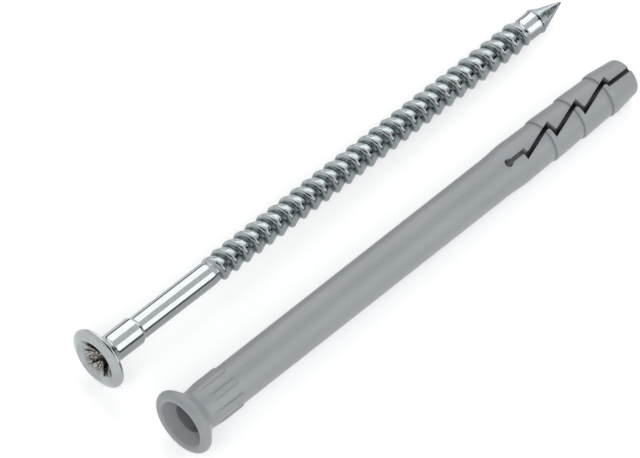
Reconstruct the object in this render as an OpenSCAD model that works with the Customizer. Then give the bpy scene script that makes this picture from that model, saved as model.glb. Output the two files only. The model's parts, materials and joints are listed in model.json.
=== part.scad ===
// Hammer fixing plug: a moulded plug sleeve with a funnel mouth, neck ribs and a split, barbed
// expansion end, and the threaded nail screw that is driven into it. The two pieces lie side by
// side on the floor, heads level, and both point along +X. Millimetres, +Z up, with the origin
// at the middle of the footprint. Each piece is drawn along its own +Z and then laid down.

/* [Plug sleeve] */
// Length of the sleeve from the front of its lip to its far end
sleeve_length = 80; // [65:1:120]
// Outside diameter of the plain tube
tube_d = 5.75; // [5.6:0.05:5.95]
// Diameter of the bore that the nail screw slides in
bore_d = 4.16; // [4:0.02:4.3]
// Diameter of the narrow bore between the split halves
pilot_d = 2.3; // [1.8:0.1:2.7]
// Length over which the bore narrows to the pilot
bore_taper = 4; // [2:0.5:6]
// Chamfer where the pilot bore leaves the far end
pilot_chamfer = 0.3; // [0.1:0.1:0.4]

/* [Flange] */
// Diameter of the flange round the mouth
flange_d = 9.25; // [9:0.05:11]
// Radius of the rounded lip
lip_r = 0.75; // [0.6:0.05:0.85]
// Angle between the funnel and the axis, shared by the screw head's seat
seat_angle = 45; // [40:1:50]
// Radius of the fillet between the flange and the tube
neck_fillet = 0.5; // [0.4:0.1:1.5]

/* [Neck ribs] */
// Number of opposite pairs of ribs that stop the sleeve from turning
rib_pairs = 4; // [2:1:6]
// Width of a rib
rib_w = 0.85; // [0.5:0.05:1]
// Height of a rib above the tube
rib_h = 0.2; // [0.08:0.01:0.4]
// Turn of the ribs from the middle of the slot
rib_turn = 6; // [0:1:45]
// Distance from the mouth to the ends of the ribs
rib_end = 8.7; // [6:0.1:15]
// Chamfer on the end of a rib
rib_chamfer = 0.12; // [0.05:0.01:0.2]

/* [Expansion end] */
// Number of ring barbs
barb_count = 3; // [2:1:4]
// Distance from one barb to the next
barb_pitch = 5.15; // [4.5:0.05:6]
// Diameter over the barbs
barb_d = 6.14; // [6.1:0.02:6.5]
// Diameter in front of each barb
barb_root_d = 5.76; // [5.6:0.02:6]
// Length of the steep step up to a barb's shoulder
barb_step = 0.14; // [0.08:0.02:0.4]
// Distance from a barb's step to its crest
barb_rise = 0.7; // [0.5:0.1:1.2]
// Drop from a barb's crest to its shoulder
barb_shoulder = 0.04; // [0.02:0.01:0.1]
// Distance from the last barb's step to the far end
tip_length = 5.1; // [4.5:0.1:7]
// Diameter of the far end before its rounded corner
tip_d = 5.3; // [5:0.02:5.6]
// Radius of the far end's corner
tip_round = 0.7; // [0.3:0.1:0.9]
// Diameter of the swell ahead of the barbs
swell_d = 6.06; // [6:0.02:6.3]
// Distance from the start of the swell to the first barb's step
swell_lead = 8.4; // [7.5:0.1:12]
// Length over which the swell rises
swell_rise = 3.5; // [2:0.1:4]

/* [Zigzag slot] */
// Width of the slot between the split halves
slot_w = 0.58; // [0.4:0.02:0.8]
// Diameter of the relief hole where the slot starts
slot_hole_d = 1.15; // [0.9:0.05:1.4]
// Distance from the relief hole to the first barb's step
slot_lead = 6.8; // [6:0.1:8]
// Distance from the slot's first tooth to the first barb's step
tooth_lead = 4.1; // [3.5:0.1:5]
// How far the slot swings to each side of its middle line
slot_swing = 0.78; // [0.6:0.02:1]
// Length along the sleeve of the slot's steep legs
steep_leg = 0.1; // [0.1:0.02:0.5]
// Radius of the rounded tooth tips
tooth_round = 0.35; // [0.1:0.05:0.4]
// Diameter of the core, to which the wide slot and its relief hole reach
slot_core_d = 3.5; // [2.9:0.1:4.5]
// Width of the fine slit that goes on through the core
slit_w = 0.12; // [0.08:0.02:0.3]

/* [Nail screw head] */
// Diameter of the head
head_d = 8.7; // [8.5:0.1:9.2]
// Thickness of the head's rounded rim
rim_h = 0.6; // [0.4:0.1:0.8]
// Radius of the head's low dome
dome_r = 8.4; // [8:0.1:10]
// Radial gap between the head's seat and the sleeve's funnel
seat_clearance = 0.25; // [0.2:0.05:0.5]
// Radius of the fillet between the head's seat and the collar
seat_fillet = 1.2; // [0.4:0.1:1.5]

/* [Cross recess] */
// Diameter of the dish that the driver enters by
recess_d = 6.2; // [6:0.02:6.5]
// Diameter of the dish at its foot
dish_d = 5.25; // [5:0.05:5.5]
// Depth of the dish
dish_depth = 0.35; // [0.2:0.05:0.5]
// Depth of the recess from the edge of the dish to its bottom
recess_depth = 2.2; // [1.8:0.1:2.4]
// Diameter of the flat at the middle of the sloping lands
land_d = 1.9; // [1.6:0.1:2.4]
// Depth of the middle of the lands
land_depth = 1.45; // [1:0.05:1.6]
// Span of the wings at the edge of the dish
wing_span = 5.55; // [5.3:0.05:5.7]
// Span of the wings at the bottom
wing_foot = 2.85; // [2.6:0.05:3.2]
// Width of the wings at the edge of the dish
wing_w = 1.2; // [1:0.05:1.4]
// Width of the wings at the bottom
wing_foot_w = 1; // [0.9:0.05:1.1]
// Width of the small notches between the wings
notch_w = 0.36; // [0.2:0.02:0.5]
// Depth of the small notches below the lands
notch_depth = 0.16; // [0.1:0.02:0.3]

/* [Shank] */
// Gap between the bore and the screw's collar, on the diameter
collar_clearance = 0.32; // [0.2:0.02:0.4]
// Distance from the head to the end of the collar
collar_end = 6.4; // [5:0.1:10]
// Length of the chamfer that ends the collar
collar_chamfer = 0.4; // [0.2:0.05:0.6]
// Diameter of the plain shank
shank_d = 3.3; // [3.24:0.02:3.36]
// How far the point stands out of the sleeve when the screw is driven home
point_reach = 2.8; // [1:0.1:6]

/* [Thread] */
// Distance from the head to the start of the thread
thread_start = 18.9; // [15:0.1:30]
// Distance from one turn to the next
pitch = 2.02; // [1.6:0.02:2.4]
// Gap between the bore and the thread's crest, on the diameter
thread_clearance = 0.26; // [0.2:0.02:0.4]
// Diameter at the thread's root
root_d = 2.95; // [2.8:0.05:3.1]
// Length over which the thread runs in and out
run_out = 1.6; // [1:0.1:3]

/* [Point] */
// Diameter of the plain nose behind the point
nose_d = 3.25; // [3.2:0.01:3.4]
// Length of the nose
nose_length = 1.6; // [1.5:0.1:3]
// Diameter of the pinched shoulder of the point
shoulder_d = 3.5; // [3.45:0.05:3.7]
// Length over which the nose widens into the shoulder
shoulder_rise = 0.25; // [0.1:0.05:0.4]
// Length of the point from its shoulder to its tip
point_length = 4.55; // [3.5:0.05:6]
// Diameter of the blunt end of the tip
tip_flat_d = 0.3; // [0.1:0.05:0.5]

/* [Layout] */
// Distance between the axes of the two pieces
spacing = 14.8; // [12:0.1:30]
// How far the sleeve's lip lies ahead of the underside of the screw's head
stagger = 0.75; // [-2:0.05:2]
// Turn of the sleeve from its slot facing straight up, towards the sleeve's side
sleeve_turn = 21; // [0:1:45]
// Turn of the screw from one wing of its recess facing straight up
screw_turn = 225; // [0:1:360]

/* [Hidden] */
$fn = 96;

// Straight steps in a drawn arc
arc_steps = 8;
// Depth to which joined shapes run into each other
overlap = 0.3;
// Sides of the thread's turns
thread_sides = 30;
// One turn of the thread: parts of the pitch, and parts of the thread's height
thread_shape = [[0, 0], [0.19, 0.93], [0.24, 1], [0.31, 0.93], [0.96, 0]];

// Sleeve
tube_r = tube_d / 2;
bore_r = bore_d / 2;
pilot_r = pilot_d / 2;
rib_r = tube_r + rib_h;
lip_c = [flange_d / 2 - lip_r, lip_r];
seat_normal = [cos(seat_angle), sin(seat_angle)];
funnel_top = lip_c - lip_r * seat_normal;
funnel_end = funnel_top.y + (funnel_top.x - bore_r) / tan(seat_angle);
flange_back = lip_c + lip_r * seat_normal;
fillet_r = tube_r + neck_fillet;
fillet_c = [
    fillet_r,
    flange_back.y + (neck_fillet - (fillet_r - flange_back.x) * seat_normal.x) / seat_normal.y
];
end_c = [tip_d / 2 - tip_round, sleeve_length - tip_round];
last_barb = sleeve_length - tip_length;
first_barb = last_barb - (barb_count - 1) * barb_pitch;
swell_start = first_barb - swell_lead;
slot_start = first_barb - slot_lead;
bore_end = slot_start - slot_hole_d / 2 - bore_taper;

// Screw, with z = 0 at the underside of its head
screw_length = sleeve_length + point_reach;
collar_r = (bore_d - collar_clearance) / 2;
shank_r = shank_d / 2;
crest_r = (bore_d - thread_clearance) / 2;
root_r = root_d / 2;
rim_r = rim_h / 2;
rim_c = [head_d / 2 - rim_r, -rim_r];
dome_angle = asin(rim_c.x / (dome_r - rim_r));
dome_z = (dome_r - rim_r) * cos(dome_angle) - rim_r;
recess_r = recess_d / 2;
recess_z = dome_z - sqrt(dome_r * dome_r - recess_r * recess_r);
seat_r = funnel_top.x + funnel_top.y * tan(seat_angle) - seat_clearance;
seat_end = (seat_r - collar_r) / tan(seat_angle);
seat_c = [collar_r + seat_fillet, seat_end + seat_fillet * tan(seat_angle / 2)];
shoulder_z = screw_length - point_length;
nose_end = shoulder_z - shoulder_rise;
thread_end = nose_end - nose_length;

// Rest: each piece lies on its head's round rim and on its last barb or crest
crest_part = thread_shape[2][0];
down_angle = 180 - screw_turn;
down_part = crest_part + down_angle / 360;
full_turns = (thread_end - run_out - thread_start) / pitch;
last_crest = thread_start + pitch * (floor(full_turns - down_part) + down_part);
sleeve_toe = [barb_d / 2, last_barb + barb_rise];
screw_toe = [crest_r, last_crest];
sleeve_tilt = rest_tilt(lip_c, lip_r, sleeve_toe);
screw_tilt = rest_tilt(rim_c, rim_r, screw_toe);
sleeve_front = lip_c.y * cos(sleeve_tilt) - lip_c.x * sin(sleeve_tilt) - lip_r - stagger;
sleeve_back = end_c.y * cos(sleeve_tilt) + end_c.x * sin(sleeve_tilt) + tip_round - stagger;
screw_front = recess_z * cos(screw_tilt) - recess_r * sin(screw_tilt);
screw_back = screw_length * cos(screw_tilt) + tip_flat_d / 2 * sin(screw_tilt);
screw_x = -(min(sleeve_front, screw_front) + max(sleeve_back, screw_back)) / 2;
sleeve_y = -(spacing + head_d / 2 - flange_d / 2) / 2;

// Points on an arc about c, from angle a to angle b
function arc(c, r, a, b) =
    [for (i = [0 : arc_steps]) let (t = a + (b - a) * i / arc_steps) c + r * [cos(t), sin(t)]];

// Tilt at which a round rim (centre c, radius r) and a toe touch the floor together
function rest_tilt(c, r, toe) =
    let (d = toe - c)
    asin(r / norm(d)) - atan2(d.x, d.y);

// Height of a piece's own origin above the floor, when it lies on its toe at that tilt
function rest_height(toe, tilt) = toe.x * cos(tilt) + toe.y * sin(tilt);

function unit(v) = v / norm(v);
function left_of(v) = [-v.y, v.x];

// Direction in which a path's point i moves when the path is shifted sideways by 1
function miter(path, i) =
    let (
        last = len(path) - 1,
        before = left_of(unit(path[max(i, 1)] - path[max(i, 1) - 1])),
        after = left_of(unit(path[min(i + 1, last)] - path[min(i + 1, last) - 1]))
    )
    (before + after) / (1 + before * after);

// Round the corner p between its neighbours a and b
function round_corner(a, p, b, r) =
    let (
        u = unit(a - p),
        v = unit(b - p),
        half = acos(u * v) / 2,
        c = p + unit(u + v) * r / sin(half),
        from = p + u * r / tan(half) - c,
        start = atan2(from.y, from.x),
        way = cross(u, v) > 0 ? -1 : 1
    )
    arc(c, r, start, start + way * (180 - 2 * half));

// The sleeve's half section: lip, flange, tube, swell, barbs, far end, and back along the bore
function swell() = [
    for (i = [0 : arc_steps])
        let (t = i / arc_steps)
        [tube_r + (swell_d - tube_d) * (1 - cos(180 * t)) / 4, swell_start + swell_rise * t]
];
function barb(z) = [
    [barb_root_d / 2, z],
    [barb_d / 2 - barb_shoulder, z + barb_step],
    [barb_d / 2, z + barb_rise]
];
function sleeve_section() = concat(
    arc(lip_c, lip_r, seat_angle - 180, seat_angle),
    arc(fillet_c, neck_fillet, 180 + seat_angle, 180),
    swell(),
    [for (i = [0 : barb_count - 1]) each barb(first_barb + i * barb_pitch)],
    arc(end_c, tip_round, 0, 90),
    [
        [pilot_r + pilot_chamfer, sleeve_length],
        [pilot_r, sleeve_length - pilot_chamfer],
        [pilot_r, bore_end + bore_taper],
        [bore_r, bore_end],
        [bore_r, funnel_end]
    ]
);

// The slot's middle line: straight from its relief hole, a zigzag past the barbs, then straight out
slot_path = concat(
    [[0, slot_start], [0, first_barb - tooth_lead - steep_leg / 2]],
    [
        for (i = [0 : barb_count - 1], side = [1, -1])
            let (z = first_barb - tooth_lead + i * barb_pitch)
            [side * slot_swing, side > 0 ? z : z + barb_pitch - steep_leg]
    ],
    [
        [0, last_barb - tooth_lead + barb_pitch - steep_leg / 2],
        [0, sleeve_length + overlap]
    ]
);
function slot_point(i, side, width) =
    slot_path[i] + side * width / 2 * miter(slot_path, i);
function tooth_tip(i, side) =
    i > 1 && i < len(slot_path) - 2 && slot_path[i].x * miter(slot_path, i).x * side < 0;
function slot_edge(side) = [
    for (i = [0 : len(slot_path) - 1])
        each tooth_tip(i, side)
            ? round_corner(
                slot_point(i - 1, side, slot_w),
                slot_point(i, side, slot_w),
                slot_point(i + 1, side, slot_w),
                tooth_round
            )
            : [slot_point(i, side, slot_w)]
];
function slit_edge(side) = [for (i = [0 : len(slot_path) - 1]) slot_point(i, side, slit_w)];
function reversed(list) = [for (i = [len(list) - 1 : -1 : 0]) list[i]];

// A cut right through the sleeve between two edges
module cut(edge_a, edge_b) {
    rotate([90, 0, 90])
        linear_extrude(height = 2 * flange_d, center = true)
            polygon(concat(edge_a, reversed(edge_b)));
}

// The wide slot and its relief hole stop at the core, and only the slit goes through it
module slot() {
    difference() {
        union() {
            cut(slot_edge(1), slot_edge(-1));
            translate([0, 0, slot_start])
                rotate([0, 90, 0])
                    cylinder(h = 2 * flange_d, d = slot_hole_d, center = true);
        }
        cylinder(h = sleeve_length, d = slot_core_d);
    }
    cut(slit_edge(1), slit_edge(-1));
}

module neck_ribs() {
    rib_start = flange_back.y + overlap;
    intersection() {
        rotate_extrude()
            polygon([
                [tube_r - overlap, rib_start],
                [rib_r, rib_start],
                [rib_r, rib_end - rib_chamfer],
                [rib_r - rib_chamfer, rib_end],
                [tube_r - overlap, rib_end]
            ]);
        for (i = [0 : rib_pairs - 1])
            rotate([0, 0, rib_turn + 180 * i / rib_pairs])
                translate([-tube_d, -rib_w / 2, 0])
                    cube([2 * tube_d, rib_w, 2 * rib_end]);
    }
}

// Lay a piece down along +X, its far end lowered by tilt, and turned about its own axis
module laid(x, y, toe, tilt, turn) {
    translate([x, y, rest_height(toe, tilt)])
        rotate([0, 90 + tilt, 0])
            rotate([0, 0, 180 + turn])
                children();
}

module plug_sleeve() {
    color([0.62, 0.63, 0.64])
        laid(screw_x - stagger, sleeve_y, sleeve_toe, sleeve_tilt, sleeve_turn)
            difference() {
                union() {
                    rotate_extrude()
                        polygon(sleeve_section());
                    neck_ribs();
                }
                slot();
            }
}

// The screw's half section from the recess over the dome and rim to the end of the plain shank
function head_section() = concat(
    [
        [0, recess_z + land_depth],
        [land_d / 2, recess_z + land_depth],
        [dish_d / 2, recess_z + dish_depth]
    ],
    arc([0, dome_z], dome_r, asin(recess_r / dome_r) - 90, dome_angle - 90),
    arc(rim_c, rim_r, dome_angle - 90, 90),
    [[seat_r, 0]],
    arc(seat_c, seat_fillet, 180 + seat_angle, 180),
    [
        [collar_r, collar_end - collar_chamfer],
        [shank_r, collar_end],
        [shank_r, thread_start],
        [0, thread_start]
    ]
);

function point_section() = [
    [0, thread_end],
    [nose_d / 2, thread_end],
    [nose_d / 2, nose_end],
    [shoulder_d / 2, shoulder_z],
    [tip_flat_d / 2, screw_length],
    [0, screw_length]
];

// One wing bar of the cross recess, tapering to the bottom
module wing_bar() {
    translate([0, 0, recess_z])
        linear_extrude(
            height = recess_depth,
            scale = [wing_foot / wing_span, wing_foot_w / wing_w],
            slices = 1,
            $fn = 4
        )
            square([wing_span, wing_w], center = true);
}

// One notch along a land, sunk below the land's slope
module notch() {
    land_fall = land_depth - dish_depth;
    land_run = (dish_d - land_d) / 2;
    translate([land_d / 2, -notch_w / 2, recess_z + land_depth + notch_depth])
        rotate([0, atan2(land_fall, land_run), 0])
            translate([0, 0, -1])
                cube([norm([land_fall, land_run]) * 3 / 4, notch_w, 1]);
}

module cross_recess() {
    for (i = [0, 1])
        rotate([0, 0, 90 * i])
            wing_bar();
    for (i = [0 : 3])
        rotate([0, 0, 45 + 90 * i])
            notch();
}

// The thread is one skin whose rows follow the helix: every row rises by one pitch in a turn and
// joins the row of the same place on the next turn. The rows stop at the two end planes.
thread_low = thread_start - overlap;
thread_high = thread_end + overlap;
rows_per_turn = len(thread_shape);
thread_rows = rows_per_turn * (ceil((thread_high - thread_start) / pitch) + 2);
function ramp(x) = min(max(x, 0), 1);
function thread_point(row, side) =
    let (
        shape = thread_shape[row % rows_per_turn],
        turn = floor(row / rows_per_turn) - 2 + shape[0] + side / thread_sides,
        z = min(max(thread_start + pitch * turn, thread_low), thread_high),
        fade = ramp((z - thread_start) / run_out) * ramp((thread_end - z) / run_out),
        r = root_r + (crest_r - root_r) * shape[1] * fade,
        a = 360 * side / thread_sides
    )
    [r * cos(a), r * sin(a), z];
function thread_index(row, side) =
    side < thread_sides
        ? row * thread_sides + side
        : (row + rows_per_turn) * thread_sides;

module thread() {
    points = [
        for (row = [0 : thread_rows + rows_per_turn], side = [0 : thread_sides - 1])
            thread_point(row, side)
    ];
    quads = [
        for (row = [0 : thread_rows - 1], side = [0 : thread_sides - 1]) [
            thread_index(row, side),
            thread_index(row + 1, side),
            thread_index(row + 1, side + 1),
            thread_index(row, side + 1)
        ]
    ];
    faces = [
        for (q = quads, f = [[q[0], q[1], q[2]], [q[0], q[2], q[3]]])
            if (points[f[0]] != points[f[1]] && points[f[1]] != points[f[2]] && points[f[2]] != points[f[0]])
                f
    ];
    low_cap = [for (side = [0 : thread_sides - 1]) thread_index(0, side)];
    high_cap = [for (side = [thread_sides - 1 : -1 : 0]) thread_index(thread_rows, side)];
    polyhedron(points = points, faces = concat(faces, [low_cap, high_cap]));
}

module nail_screw() {
    color([0.78, 0.79, 0.8])
        laid(screw_x, sleeve_y + spacing, screw_toe, screw_tilt, screw_turn)
            union() {
                difference() {
                    rotate_extrude()
                        polygon(head_section());
                    cross_recess();
                }
                thread();
                rotate_extrude()
                    polygon(point_section());
            }
}

plug_sleeve();
nail_screw();
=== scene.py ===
# %% [markdown]
# # A hammer fixing laid out as its two pieces
# The real thing is a wall plug that is driven with a hammer: a grey plastic sleeve with a
# split, barbed end, and a bright zinc-plated nail screw that spreads it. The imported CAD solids
# give the exact place of both. They could be shown as they are, but their thread is faceted and
# their edges are dead sharp, so each one is drawn again here as a smooth surface worked out with
# numpy, in the same place and at the same size.

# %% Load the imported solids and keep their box
import json
import math

import bpy
import numpy as np
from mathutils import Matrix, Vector


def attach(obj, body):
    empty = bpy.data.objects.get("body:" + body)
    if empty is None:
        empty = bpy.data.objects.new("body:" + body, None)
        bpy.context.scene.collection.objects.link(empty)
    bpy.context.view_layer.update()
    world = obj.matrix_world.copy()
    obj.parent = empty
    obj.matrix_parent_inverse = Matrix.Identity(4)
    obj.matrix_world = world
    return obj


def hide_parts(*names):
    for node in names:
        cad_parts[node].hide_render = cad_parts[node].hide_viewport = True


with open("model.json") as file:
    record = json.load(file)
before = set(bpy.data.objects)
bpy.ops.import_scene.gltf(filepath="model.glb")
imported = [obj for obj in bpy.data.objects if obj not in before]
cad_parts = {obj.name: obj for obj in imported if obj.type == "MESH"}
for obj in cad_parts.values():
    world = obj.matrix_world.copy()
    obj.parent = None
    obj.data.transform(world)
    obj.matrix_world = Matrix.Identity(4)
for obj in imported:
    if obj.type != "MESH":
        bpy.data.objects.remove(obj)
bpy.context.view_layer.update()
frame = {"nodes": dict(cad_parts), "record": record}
print("solids:", sorted(frame["nodes"]))

# %% [markdown]
# ## Where each piece lies
# Both pieces are round, so each needs only a starting point, an axis and a turn about that axis.
# The places could be typed in, but the record already states them: one mount sits on the
# sleeve's axis and one on the screw's. Reading them there keeps the surfaces on the solids. What
# is left to state is how high on its piece each mount sits, and how each piece has rolled.

# %% Find the two axes
MM = 0.001
FUNNEL_END = 1.4843
RECESS_FACE = -1.0922
SLEEVE_TURN = math.radians(21)
SCREW_TURN = math.radians(225)
mounts = {mount["name"]: mount for mount in frame["record"]["mounts"]}


def resting_place(mount_name, mount_z, turn):
    """A piece's own axes in the room. Its z runs from the head to the far end, against the
    mount's axis; side is level and square to z, and up is square to both. The origin is the
    mount's point moved back along z by the mount's own height."""
    mount = mounts[mount_name]
    along = -np.array(mount["axis"], float)
    along /= np.linalg.norm(along)
    side = np.array([-along[1], along[0], 0.0])
    side /= np.linalg.norm(side)
    up = np.cross(along, side)
    origin = np.array(mount["pos_m"], float) - along * mount_z * MM
    return {"origin": origin, "along": along, "side": side, "up": up, "turn": turn}


def lay_down(points, place):
    """Turn points (x, y, z) in mm about z by the resting turn, then measure x along up, y
    against side and z along the axis, from the piece's origin, in metres."""
    c, s = math.cos(place["turn"]), math.sin(place["turn"])
    x, y, z = points[..., 0], points[..., 1], points[..., 2]
    rise = (x * c - y * s)[..., None] * place["up"]
    across = (x * s + y * c)[..., None] * place["side"]
    return place["origin"] + MM * (rise - across + z[..., None] * place["along"])


sleeve_place = resting_place("screw_bore", FUNNEL_END, SLEEVE_TURN)
screw_place = resting_place("drive_recess", RECESS_FACE, SCREW_TURN)
print("sleeve starts at", np.round(sleeve_place["origin"] / MM, 2), "mm")
print("screw starts at", np.round(screw_place["origin"] / MM, 2), "mm")

# %% [markdown]
# ## From a grid of points to a mesh
# A surface is a grid: rows follow one parameter, columns the other. Each cell of four
# neighbours becomes a face. Where a grid closes on itself or shrinks to a point, its edge points
# fall on each other, so they are merged, and the cells that lost a corner become triangles.
# Blender's Merge by Distance could do this too; doing it on the arrays keeps it exact.


# %% Grid helpers
def grid_faces(rows, columns, first=0):
    """Four corners of every cell: point (i, j) is number first + i * columns + j."""
    corner = first + (np.arange(rows - 1)[:, None] * columns + np.arange(columns - 1)).ravel()
    return np.stack([corner, corner + 1, corner + columns + 1, corner + columns], axis=1)


def merged(points, faces, grain=1e-8):
    """Give points in the same place one number, drop cells that have shrunk to a line, and cut
    the cells that have lost one corner down to triangles."""
    keys = np.round(points / grain).astype(np.int64)
    _, kept, number = np.unique(keys, axis=0, return_index=True, return_inverse=True)
    cells = number.ravel()[faces]
    doubled = cells == np.roll(cells, -1, axis=1)
    folded = (cells[:, 0] == cells[:, 2]) | (cells[:, 1] == cells[:, 3])
    whole = cells[(doubled.sum(axis=1) == 0) & ~folded]
    cut = (doubled.sum(axis=1) == 1) & ~folded
    triangles = cells[cut][~doubled[cut]].reshape(-1, 3)
    return points[kept], whole, triangles, kept


def enclosed_volume(points, quads, triangles):
    """Sum of the volumes of the pyramids from the origin to every triangle."""
    fan = np.concatenate([quads[:, [0, 1, 2]], quads[:, [0, 2, 3]], triangles])
    a, b, c = (points[fan[:, i]] for i in range(3))
    return np.einsum("ij,ij->i", a, np.cross(b, c)).sum() / 6


def make_piece(name, points, faces, place, crease_deg):
    """Lay the points down, merge them, turn the faces outwards and make a smooth mesh whose
    edges stay crisp where the faces meet at more than the crease angle."""
    room, quads, triangles, kept = merged(lay_down(points, place), faces)
    if enclosed_volume(room - room.mean(axis=0), quads, triangles) < 0:
        quads, triangles = quads[:, ::-1], triangles[:, ::-1]
    mesh = bpy.data.meshes.new(name)
    mesh.from_pydata(room.tolist(), [], quads.tolist() + triangles.tolist())
    mesh.validate()
    mesh.shade_smooth()
    mesh.set_sharp_from_angle(angle=math.radians(crease_deg))
    piece = bpy.data.objects.new(name, mesh)
    bpy.context.scene.collection.objects.link(piece)
    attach(piece, "root")
    volume = enclosed_volume(room - room.mean(axis=0), quads, triangles) / MM ** 3
    print(f"{name}: {2 * len(quads) + len(triangles)} triangles, {volume:.1f} mm3")
    return piece, kept


def store(piece, name, values):
    """Keep one number for each point of a piece's mesh, under a name that its material reads."""
    attribute = piece.data.attributes.new(name, "FLOAT", "POINT")
    attribute.data.foreach_set("value", values.astype(np.float32))
    print(name, "is above one half at", int((values > 0.5).sum()), "points")


def arc(centre, radius, first_deg, last_deg, steps):
    """Points centre + radius * (cos t, sin t), for t from the first to the last angle."""
    t = np.radians(np.linspace(first_deg, last_deg, steps + 1))
    return np.stack([centre[0] + radius * np.cos(t), centre[1] + radius * np.sin(t)], axis=1)


def ease(x, low, high):
    """0 below low, 1 above high, and 3t^2 - 2t^3 between them."""
    t = np.clip((x - low) / (high - low), 0, 1)
    return t * t * (3 - 2 * t)


print("a grid of 3 by 4 points has", len(grid_faces(3, 4)), "cells")

# %% [markdown]
# ## The sleeve's wall
# The sleeve is one moulding: a rounded flange with a funnel mouth, a plain tube, a slight
# swelling, three ring barbs and a tapered end. All of that is one closed section turned about
# the axis. A lathe modifier could turn it, but the slot has to split it afterwards, so the
# section is kept as numbers: the outer radius and the inner radius at each height.

# %% The section, as radius and height in mm
SLEEVE_END = 80.0
TUBE_R, BORE_R, PILOT_R, CORE_R = 2.875, 2.08, 1.15, 1.75
LIP_CENTRE, LIP_R = (3.875, 0.75), 0.75
FUNNEL_TOP = (3.3447, 0.2197)
FILLET_CENTRE, FILLET_R = (3.375, 3.0178), 0.5
SWELL_START, SWELL_RISE, SWELL_R = 56.2, 3.5, 3.03
BARB_HEIGHTS = np.array([64.6, 69.75, 74.9])
BARB_STEP = np.array([[-0.14, 2.885], [-0.03, 2.82], [0.04, 2.83], [0.1, 2.97], [0.15, 3.03],
                      [0.22, 3.05], [0.4, 3.063], [0.7, 3.07], [0.95, 3.063]])
END_ROUND_CENTRE, END_ROUND_R = (1.95, 79.3), 0.7
BORE_END, PILOT_CHAMFER = 53.225, 0.3
HOLE_R, HOLE_Z = 0.575, 57.8
FUNNEL_ROWS, SWELL_ROWS = 4, 13

swell_t = np.linspace(0, 1, SWELL_ROWS)
swell = np.stack([SWELL_START + SWELL_RISE * swell_t,
                  TUBE_R + (SWELL_R - TUBE_R) * (1 - np.cos(math.pi * swell_t)) / 2], axis=1)
barbs = (BARB_HEIGHTS[:, None, None] * [1, 0] + BARB_STEP).reshape(-1, 2)
end_round = arc(END_ROUND_CENTRE, END_ROUND_R, 0, 90, steps=7)[:, ::-1]
outer_line = np.concatenate([[[FILLET_CENTRE[1], TUBE_R]], swell, barbs, end_round])
inner_line = np.array([[FUNNEL_END, BORE_R], [BORE_END, BORE_R], [HOLE_Z - HOLE_R, PILOT_R],
                       [SLEEVE_END - PILOT_CHAMFER, PILOT_R],
                       [SLEEVE_END, PILOT_R + PILOT_CHAMFER]])
mouth = np.concatenate([
    np.linspace((BORE_R, FUNNEL_END), FUNNEL_TOP, FUNNEL_ROWS)[:-1],
    arc(LIP_CENTRE, LIP_R, -135, 45, steps=28),
    arc(FILLET_CENTRE, FILLET_R, 225, 180, steps=10)[:-1],
])
print("outer line:", len(outer_line), "points; mouth:", len(mouth), "points")

# %% [markdown]
# ## The zigzag slot
# The expansion end is split in two by a slot that starts at a small round hole, zigzags past the
# barbs like saw teeth and runs straight out. The wide slot only reaches down to a core, and a fine
# slit goes on through the core to the bore. A boolean cut would do it, but it leaves long thin
# faces that shade badly. Here each half of the sleeve simply stops at its own edge of the slot, and
# every edge is a line y(z): how far from the middle plane that half begins at height z. The slit is
# finer here than in the solid, because a wider one lets the white table show through as a line.

# %% The middle line of the slot and its edges
SLOT_HALF, SLIT_HALF = 0.29, 0.012
TOOTH_SWING, STEEP_LEG, TOOTH_PITCH, FIRST_TOOTH = 0.78, 0.1, 5.15, 60.5
TIP_ROUND, CORNER_ROUND = 0.42, 0.06
TOOTH_COUNT = len(BARB_HEIGHTS)


def middle_line():
    """The slot's middle as points (z, y): straight from the hole; at every barb steeply across to
    one side and slanting back over the rest of the pitch; then straight out of the far end."""
    valley = FIRST_TOOTH + TOOTH_PITCH * np.arange(TOOTH_COUNT)
    z = np.stack([valley, valley + TOOTH_PITCH - STEEP_LEG], axis=1).ravel()
    teeth = np.stack([z, np.tile([TOOTH_SWING, -TOOTH_SWING], TOOTH_COUNT)], axis=1)
    return np.concatenate([[[HOLE_Z, 0], [z[0] - STEEP_LEG / 2, 0]], teeth,
                           [[z[-1] + STEEP_LEG / 2, 0], [SLEEVE_END + 1, 0]]])


def moved_aside(line, distance):
    """The line moved sideways: a leg's normal n is its direction turned by a quarter, and a corner
    moves by distance * (n1 + n2) / (1 + n1 . n2), so that both its legs keep their distance."""
    leg = np.diff(line, axis=0)
    leg /= np.linalg.norm(leg, axis=1, keepdims=True)
    normal = np.stack([-leg[:, 1], leg[:, 0]], axis=1)
    before, after = np.concatenate([normal[:1], normal]), np.concatenate([normal, normal[-1:]])
    return line + distance * (before + after) / (1 + (before * after).sum(axis=1, keepdims=True))


def round_corners(line, reach, steps=6):
    """Replace each inner corner by a curve that leaves one leg and joins the next: the weights
    (1-t)^2, 2t(1-t) and t^2 of the leaving point, the corner and the joining point."""
    before = line[:-2] - line[1:-1]
    after = line[2:] - line[1:-1]
    reach = np.asarray(reach)[:, None]
    leave = line[1:-1] + reach * before / np.linalg.norm(before, axis=1, keepdims=True)
    join = line[1:-1] + reach * after / np.linalg.norm(after, axis=1, keepdims=True)
    t = np.linspace(0, 1, steps)[None, :, None]
    bend = ((1 - t) ** 2 * leave[:, None] + 2 * t * (1 - t) * line[1:-1][:, None]
            + t ** 2 * join[:, None])
    return np.concatenate([line[:1], bend.reshape(-1, 2), line[-1:]])


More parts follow.
